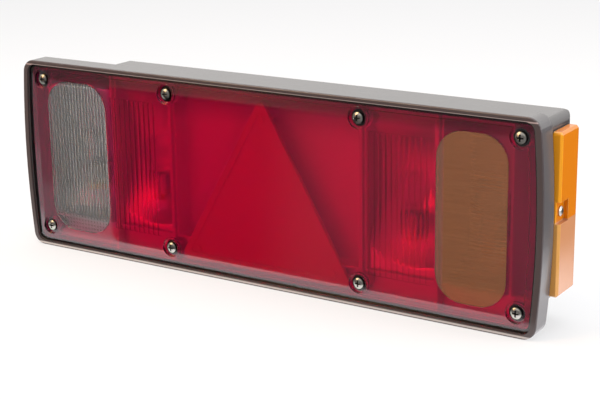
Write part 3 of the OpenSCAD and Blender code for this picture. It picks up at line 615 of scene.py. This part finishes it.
def turned_outwards(points: np.ndarray, faces: list[list[int]]) -> list[list[int]]:
    """Turns the faces of a closed solid so that they all point outwards.

    The solid's volume is a sixth of the sum of a . (b x c) over its triangles. Where that comes out
    negative, each face is listed the other way round.

    Args:
        points: The solid's points.
        faces: The point numbers of each face, all turned the same way.

    Returns:
        The faces, listed so that they point outwards.
    """
    fans = [(face[0], face[k], face[k + 1]) for face in faces for k in range(1, len(face) - 1)]
    a, b, c = (points[[fan[k] for fan in fans]] for k in range(3))
    volume = float(np.einsum("ij,ij->", a, np.cross(b, c))) / 6
    return faces if volume > 0 else [face[::-1] for face in faces]


def solid_object(name: str, points: np.ndarray, faces: list[list[int]]) -> bpy.types.Object:
    """Makes a smooth-shaded object of a closed solid and links it.

    Args:
        name: The object's name.
        points: Its points in millimetres.
        faces: The point numbers of each face.

    Returns:
        The new object.
    """
    mesh = bpy.data.meshes.new(name)
    mesh.from_pydata((points * MM).tolist(), [], turned_outwards(points, faces))
    mesh.polygons.foreach_set("use_smooth", np.ones(len(mesh.polygons), bool))
    mesh.update()
    thing = bpy.data.objects.new(name, mesh)
    bpy.context.scene.collection.objects.link(thing)
    return thing


@dataclass(frozen=True)
class ReflectorBowl:
    """The curved reflector in front of a tray's flat floor. Sizes are in millimetres."""

    chamber: str
    centre_z: float
    offset_x: float
    curve_r: float = 44.0
    wall: float = 0.8
    tray_wall: float = 1.6
    clearance: float = 0.15
    low_z: float = -48.7
    deepest: float = 38.0
    step: float = 1.2

    def build(self, wardrobe: Wardrobe) -> bpy.types.Object:
        """Makes the bowl as a thin closed shell.

        Its front is the paraboloid y = floor - (x^2 + z^2) / (2 * curve_r), with x and z from the
        middle of the bowl, cut off level where it would be deeper than the tray, and its back is
        the same surface a wall's thickness further back.

        Args:
            wardrobe: Gives the bowl its finish.

        Returns:
            The bowl's object.
        """
        low, high = [np.array(corner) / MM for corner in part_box(f"{self.chamber}_tray")]
        inside = self.tray_wall + self.clearance
        x = np.arange(low[0] + inside, high[0] - inside, self.step)
        z = np.arange(self.low_z, high[2] - inside, self.step)
        centre_x = (low[0] + high[0]) / 2 + self.offset_x
        grid_z, grid_x = np.meshgrid(z, x, indexing="ij")
        floor = high[1] - inside - self.wall
        depth = ((grid_x - centre_x) ** 2 + (grid_z - self.centre_z) ** 2) / (2 * self.curve_r)
        grid_y = floor - np.minimum(depth, self.deepest)
        front = np.stack([grid_x, grid_y, grid_z], axis=-1).reshape(-1, 3)
        back = front + [0.0, self.wall, 0.0]
        rows, columns = len(z), len(x)
        count = rows * columns
        numbers = np.arange(count).reshape(rows, columns)
        border = np.concatenate(
            [numbers[0, :-1], numbers[:-1, -1], numbers[-1, :0:-1], numbers[:0:-1, 0]]
        )
        after = np.roll(border, -1)
        faces = np.concatenate(
            [
                grid_faces(rows, columns),
                grid_faces(rows, columns, count)[:, ::-1],
                np.stack([after, border, border + count, after + count], axis=-1),
            ]
        )
        points = np.concatenate([front, back])
        bowl = solid_object(f"{self.chamber}_bowl", points, faces.tolist())
        wardrobe.dress(bowl, BOWL_MIRROR)
        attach(bowl, BODY)
        return bowl


@dataclass(frozen=True)
class ThreadedStuds:
    """The four mounting studs with their rolled threads. Sizes are in millimetres."""

    head_r: float = 7.5
    head_t: float = 3.0
    head_chamfer: float = 0.4
    wall: float = 2.5
    neck_r: float = 5.0
    shank_r: float = 4.0
    length: float = 22.0
    pitch: float = 1.25
    thread_share: float = 0.6134
    run_out: float = 1.5
    tip: float = 1.2
    pole_r: float = 0.3
    around: int = 40
    per_pitch: int = 8

    def profile(self) -> tuple[np.ndarray, np.ndarray, np.ndarray]:
        """Gives the stud's outline from its head to its tip.

        Returns:
            Places along Y, the plain radius at each, and the share of the thread's full depth
            there, which grows over the run-out behind the neck and stays full to the tip.
        """
        face = -self.wall - self.head_t
        start = np.array(
            [
                (face, self.pole_r),
                (face, self.head_r - self.head_chamfer),
                (face + self.head_chamfer, self.head_r),
                (-self.wall, self.head_r),
                (-self.wall, self.neck_r),
                (0.0, self.neck_r),
                (0.0, self.shank_r),
            ]
        )
        tip_r = self.shank_r - self.tip
        end = np.array([(self.length, tip_r), (self.length, self.pole_r)])
        step = self.pitch / self.per_pitch
        along = np.arange(step, self.length, step)
        radius = np.minimum(self.shank_r, tip_r + (self.length - along))
        grown = np.clip(along / self.run_out, 0, 1)
        y = np.concatenate([start[:, 0], along, end[:, 0]])
        r = np.concatenate([start[:, 1], radius, end[:, 1]])
        depth = np.concatenate([np.zeros(len(start)), grown, np.zeros(len(end))])
        return y, r, depth

    def build(self, wardrobe: Wardrobe) -> bpy.types.Object:
        """Makes the four studs as one object.

        Each is a profile turned round Y, whose radius also falls by the thread's depth times a
        wave: it runs evenly from 0 to 1 and back over one pitch of y / pitch - angle / turn.

        Args:
            wardrobe: Gives the studs their finish.

        Returns:
            The object that stands for the studs.
        """
        y, radius, share = self.profile()
        angle = np.arange(self.around) / self.around
        phase = (y[:, None] / self.pitch - angle[None, :]) % 1.0
        wave = 1 - np.abs(2 * phase - 1)
        turned = radius[:, None] - self.thread_share * self.pitch * share[:, None] * wave
        side = turned * np.cos(2 * np.pi * angle)
        rise = turned * np.sin(2 * np.pi * angle)
        along = np.repeat(y[:, None], self.around, axis=1)
        ring = np.stack([side, along, rise], axis=-1).reshape(-1, 3)
        poles = np.array([(0.0, y[0], 0.0), (0.0, y[-1], 0.0)])
        one = np.concatenate([ring, poles])
        rows, count = len(y), len(one)
        quads = grid_faces(rows, self.around, wrap=True).tolist()
        edge = np.arange(self.around)
        after = np.roll(edge, -1)
        last = (rows - 1) * self.around
        fans = [[count - 2, int(b), int(a)] for a, b in zip(edge, after)]
        fans += [[count - 1, int(a) + last, int(b) + last] for a, b in zip(edge, after)]
        corner = np.array(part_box("mounting_studs")[1]) / MM
        reach_x, reach_z = corner[0] - self.head_r, corner[2] - self.head_r
        places = [(x, z) for x in (-reach_x, reach_x) for z in (-reach_z, reach_z)]
        points = np.concatenate([one + [x, 0.0, z] for x, z in places])
        faces = [[p + k * count for p in face] for k in range(len(places)) for face in quads + fans]
        studs = solid_object("threaded_studs", points, faces)
        wardrobe.dress(studs, ZINC)
        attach(studs, BODY)
        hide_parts("mounting_studs")
        return studs


@dataclass(frozen=True)
class PhotoCamera:
    """The camera of the photograph, worked out from the lamp's edges and screws."""

    frame_px: float = 600.0
    focal_px: float = 1461.8
    sensor_mm: float = 36.0
    azimuth_deg: float = 32.77
    elevation_deg: float = 16.03
    roll_deg: float = -0.94
    offset_mm: tuple[float, float, float] = (-1.48, 21.81, 1094.4)
    clip_m: tuple[float, float] = (0.01, 50.0)

    def build(self) -> bpy.types.Object:
        """Makes the camera.

        The view direction points down by the elevation and in by the azimuth. The offset is where
        the origin lies from the camera: right, up and ahead.

        Returns:
            The camera object, which the scene then uses.
        """
        azimuth, elevation, roll = np.radians([self.azimuth_deg, self.elevation_deg, self.roll_deg])
        ahead = Vector(
            (
                -math.sin(azimuth) * math.cos(elevation),
                math.cos(azimuth) * math.cos(elevation),
                -math.sin(elevation),
            )
        )
        level = Vector((math.cos(azimuth), math.sin(azimuth), 0.0))
        upright = level.cross(ahead)
        right = math.cos(roll) * level + math.sin(roll) * upright
        up = math.cos(roll) * upright - math.sin(roll) * level
        across, rise, depth = [v * MM for v in self.offset_mm]
        data = bpy.data.cameras.new("photo_camera")
        data.sensor_width = self.sensor_mm
        data.lens = self.focal_px / self.frame_px * self.sensor_mm
        data.clip_start, data.clip_end = self.clip_m
        camera = bpy.data.objects.new("photo_camera", data)
        turn = Matrix((right, up, -ahead)).transposed().to_4x4()
        turn.translation = -(across * right + rise * up + depth * ahead)
        camera.matrix_world = turn
        bpy.context.scene.collection.objects.link(camera)
        bpy.context.scene.camera = camera
        return camera


@dataclass(frozen=True)
class Softbox:
    """A rectangular studio lamp that faces the object."""

    name: str
    place: tuple[float, float, float]
    size: tuple[float, float]
    watts: float
    aim: tuple[float, float, float] = (0.0, 0.0, 0.0)
    colour: str = "#ffffff"
    roll_deg: float = 0.0

    def build(self) -> bpy.types.Object:
        """Makes the lamp, turned towards its aim and rolled about that line.

        Returns:
            The lamp's object.
        """
        data = bpy.data.lights.new(self.name, "AREA")
        data.shape = "RECTANGLE"
        data.size, data.size_y = self.size
        data.energy = self.watts
        data.color = linear(self.colour)[:3]
        lamp = bpy.data.objects.new(self.name, data)
        lamp.location = self.place
        towards = Vector(self.aim) - Vector(self.place)
        roll = Quaternion((0.0, 0.0, 1.0), np.radians(self.roll_deg))
        lamp.rotation_euler = (towards.to_track_quat("-Z", "Y") @ roll).to_euler()
        bpy.context.scene.collection.objects.link(lamp)
        return lamp


@dataclass(frozen=True)
class Fade:
    """A brightness that changes smoothly along a direction.

    The start and the end each give how far along the direction they lie, and the brightness there.
    """

    direction: tuple[float, float, float]
    start: tuple[float, float]
    end: tuple[float, float]

    def strength(self, tree: Tree, place: Socket) -> Socket:
        """Works out the brightness from a point's distance, which is point . direction.

        Args:
            tree: The node tree of the floor or the world.
            place: The point.

        Returns:
            The brightness there.
        """
        distance = add_node(
            tree,
            "ShaderNodeVectorMath",
            {"operation": "DOT_PRODUCT"},
            {0: place, 1: self.direction},
        )
        (near, first), (far, last) = self.start, self.end
        fade = add_node(
            tree,
            "ShaderNodeMapRange",
            {"interpolation_type": "SMOOTHSTEP"},
            {0: distance.outputs["Value"], 1: near, 2: far, 3: first, 4: last},
        )
        return fade.outputs[0]


def brightness(tree: Tree, place: Socket, fades: tuple[Fade, ...]) -> Socket:
    """Adds up some fades.

    Args:
        tree: The node tree of the floor or the world.
        place: The point.
        fades: One or more fades.

    Returns:
        The brightness at the point.
    """
    total = fades[0].strength(tree, place)
    for fade in fades[1:]:
        more = fade.strength(tree, place)
        both = add_node(tree, "ShaderNodeMath", {"operation": "ADD"}, {0: total, 1: more})
        total = both.outputs[0]
    return total


def mirror_share(tree: Tree) -> Socket:
    """Tells the rays that a gloss sends from the light that comes through a lens.

    Args:
        tree: The node tree of the floor or the world.

    Returns:
        1 for a ray that a gloss sends here, and otherwise 0.
    """
    path = add_node(tree, "ShaderNodeLightPath")
    through = add_node(
        tree,
        "ShaderNodeMath",
        {"operation": "SUBTRACT"},
        {0: 1.0, 1: path.outputs["Is Transmission Ray"]},
    )
    share = add_node(
        tree,
        "ShaderNodeMath",
        {"operation": "MULTIPLY"},
        {0: path.outputs["Is Glossy Ray"], 1: through.outputs[0]},
    )
    return share.outputs[0]


@dataclass(frozen=True)
class PaperFloor:
    """The white floor. Sizes and places are in metres.

    The camera sees it all white. A gloss sees a white sheet: paper lies under the lamp and ends
    just ahead of it, where it meets a card that lies at the left, in a round corner. Past the sheet
    the floor ahead is dark in the middle and half lit at the right.
    """

    level: float
    half: float = 6.0
    camera_glow: float = 0.6
    card_slant: float = 0.847
    card_x: float = -0.0904
    corner_r: float = 0.03
    edge_blur: float = 0.002
    # The sheet is brightest along its front edge, darker with the distance behind the lamp, and
    # bright again close to the lamp's right end.
    on_sheet: tuple[Fade, ...] = (
        Fade((0.0, 1.0, 0.0), (PAPER_FRONT - 0.02, 0.75), (PAPER_FRONT, 1.6)),
        Fade((0.0, 1.0, 0.0), (-0.21, -0.35), (-0.18, 0.0)),
        Fade((0.0, 1.0, 0.0), (0.02, 0.0), (0.16, -1.56)),
        Fade((1.0, 0.0, 0.0), (0.235, 0.0), (0.26, 0.6)),
        Fade((1.0, 0.0, 0.0), (0.275, 0.0), (0.31, -0.58)),
    )
    # The slant is level along the way that the lens mirrors the view.
    past_sheet: tuple[Fade, ...] = (
        Fade((1.0, -0.642, 0.0), (0.02, 0.02), (0.09, 0.16)),
        Fade((1.0, -0.642, 0.0), (0.2, 0.0), (0.3, 0.15)),
    )

    def build(self) -> None:
        """Makes the floor as one level square."""
        signs = [(-1, -1), (1, -1), (1, 1), (-1, 1)]
        corners = [(x * self.half, y * self.half, self.level) for x, y in signs]
        mesh = bpy.data.meshes.new("floor")
        mesh.from_pydata(corners, [], [(0, 1, 2, 3)])
        floor = bpy.data.objects.new("floor", mesh)
        bpy.context.scene.collection.objects.link(floor)
        mesh.materials.append(self.paper())
        floor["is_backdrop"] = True

    def paper(self) -> bpy.types.Material:
        """Makes the paper, which glows a little for the camera and takes the lamp's soft shadow.

        Returns:
            The floor's material.
        """
        material = bpy.data.materials.new("paper_white_backdrop")
        material.use_nodes = True
        tree = material.node_tree
        tree.nodes.clear()
        path = add_node(tree, "ShaderNodeLightPath")
        paper = add_node(tree, "ShaderNodeBsdfDiffuse", {}, {"Color": linear("#e6e6e6")})
        glow = add_node(tree, "ShaderNodeEmission", {}, {"Color": linear("#ffffff")})
        share = add_node(
            tree,
            "ShaderNodeMath",
            {"operation": "MULTIPLY"},
            {0: path.outputs["Is Camera Ray"], 1: self.camera_glow},
        )
        seen = add_node(
            tree,
            "ShaderNodeMixShader",
            {},
            {0: share.outputs[0], 1: paper.outputs[0], 2: glow.outputs[0]},
        )
        place = add_node(tree, "ShaderNodeTexCoord").outputs["Object"]
        mirrored = add_node(
            tree,
            "ShaderNodeEmission",
            {},
            {"Color": linear("#f8f6f8"), "Strength": self.mirrored(tree, place)},
        )
        mix = add_node(
            tree,
            "ShaderNodeMixShader",
            {},
            {0: mirror_share(tree), 1: seen.outputs[0], 2: mirrored.outputs[0]},
        )
        add_node(tree, "ShaderNodeOutputMaterial", {}, {"Surface": mix.outputs[0]})
        return material

    def mirrored(self, tree: Tree, place: Socket) -> Socket:
        """Works out how bright a gloss sees the floor.

        A point reaches into the card by card_slant * y - x + card_x and into the paper by
        y - PAPER_FRONT. The larger of the two, rounded off where they are alike, is its reach into
        the white sheet.

        Args:
            tree: The floor's node tree.
            place: The point.

        Returns:
            The brightness there.
        """
        reaches = []
        for direction, start in (
            ((-1.0, self.card_slant, 0.0), self.card_x),
            ((0.0, 1.0, 0.0), -PAPER_FRONT),
        ):
            along = add_node(
                tree, "ShaderNodeVectorMath", {"operation": "DOT_PRODUCT"}, {0: place, 1: direction}
            )
            reach = add_node(
                tree, "ShaderNodeMath", {"operation": "ADD"}, {0: along.outputs["Value"], 1: start}
            )
            reaches.append(reach.outputs[0])
        sheet = add_node(
            tree,
            "ShaderNodeMath",
            {"operation": "SMOOTH_MAX"},
            {0: reaches[0], 1: reaches[1], 2: self.corner_r},
        )
        covered = add_node(
            tree,
            "ShaderNodeMapRange",
            {"interpolation_type": "SMOOTHSTEP"},
            {0: sheet.outputs[0], 1: -self.edge_blur, 2: self.edge_blur, 3: 0.0, 4: 1.0},
        )
        on_sheet = brightness(tree, place, self.on_sheet)
        past_sheet = brightness(tree, place, self.past_sheet)
        both = add_node(
            tree,
            "ShaderNodeMix",
            {"data_type": "FLOAT"},
            {0: covered.outputs[0], 2: past_sheet, 3: on_sheet},
        )
        return both.outputs[0]


@dataclass(frozen=True)
class Room:
    """The world: white to the camera, and even to matt surfaces and through the lenses.

    A gloss sees it dark low in front, and bright above, behind and at the right. Its fades run
    along the way that a ray goes, a vector of length 1.
    """

    even: float = 0.85
    fades: tuple[Fade, ...] = (
        Fade((0.0, 0.0, 1.0), (-0.02, 0.05), (0.05, 0.15)),
        Fade((0.0, 0.0, 1.0), (0.15, 0.0), (0.4, 0.6)),
        Fade((0.0, 1.0, 0.0), (0.0, 0.0), (0.4, 0.9)),
        Fade((1.0, 0.0, 0.0), (0.1, 0.0), (0.7, 0.3)),
    )

    def build(self) -> None:
        """Makes the world and gives it to the scene."""
        world = bpy.data.worlds.new("studio")
        world.use_nodes = True
        bpy.context.scene.world = world
        tree = world.node_tree
        tree.nodes.clear()
        path = add_node(tree, "ShaderNodeLightPath")
        white = add_node(tree, "ShaderNodeBackground", {}, {"Color": linear("#ffffff")})
        even = add_node(
            tree, "ShaderNodeBackground", {}, {"Color": linear("#f2f2f4"), "Strength": self.even}
        )
        way = add_node(tree, "ShaderNodeTexCoord").outputs["Generated"]
        mirrored = add_node(
            tree,
            "ShaderNodeBackground",
            {},
            {"Color": linear("#fafaf8"), "Strength": brightness(tree, way, self.fades)},
        )
        unseen = add_node(
            tree,
            "ShaderNodeMixShader",
            {},
            {0: mirror_share(tree), 1: even.outputs[0], 2: mirrored.outputs[0]},
        )
        mix = add_node(
            tree,
            "ShaderNodeMixShader",
            {},
            {0: path.outputs["Is Camera Ray"], 1: unseen.outputs[0], 2: white.outputs[0]},
        )
        add_node(tree, "ShaderNodeOutputWorld", {}, {"Surface": mix.outputs[0]})


# The overhead and the right softbox light the lamp. The key strip is warm and slanted, for the
# streak in the curved reflectors, and the edge strip draws a thin line along the top edges.
SOFTBOXES = (
    Softbox("overhead_softbox", (0.1, 0.1, 1.3), (1.4, 1.2), 9.0),
    Softbox("right_softbox", (1.5, 0.3, 0.5), (0.8, 1.2), 13.5, colour="#f6f7ff"),
    Softbox(
        "key_strip",
        (-0.5, -0.86, 0.82),
        (1.44, 0.25),
        8.0,
        aim=(-0.12, 0.0, -0.02),
        colour="#ffc684",
        roll_deg=69.0,
    ),
    Softbox("edge_strip", (-0.68, -0.3, 1.0), (0.9, 0.06), 4.0),
)


def main() -> None:
    """Loads the frame, dresses the lamp, and sets up the camera and the studio."""
    logging.basicConfig(level=logging.INFO, format="%(name)s: %(message)s")
    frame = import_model()
    cad_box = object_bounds()
    bpy.context.scene.view_settings.view_transform = "Standard"
    wardrobe = Wardrobe()
    for name, node in frame["nodes"].items():
        finish = NODE_FINISHES.get(name) or BULB_FINISHES[name.rsplit("_", 1)[1]]
        wardrobe.dress(node, finish)
    pieces = (
        ReflectorBowl("stop", centre_z=12.5, offset_x=6.0),
        ReflectorBowl("fog", centre_z=14.0, offset_x=9.0),
        ThreadedStuds(),
    )
    for piece in pieces:
        made = piece.build(wardrobe)
        LOG.info("%s has %d faces", made.name, len(made.data.polygons))
    PhotoCamera().build()
    PaperFloor(level=cad_box[0].z).build()
    Room().build()
    for softbox in SOFTBOXES:
        softbox.build()


if __name__ == "__main__":
    main()
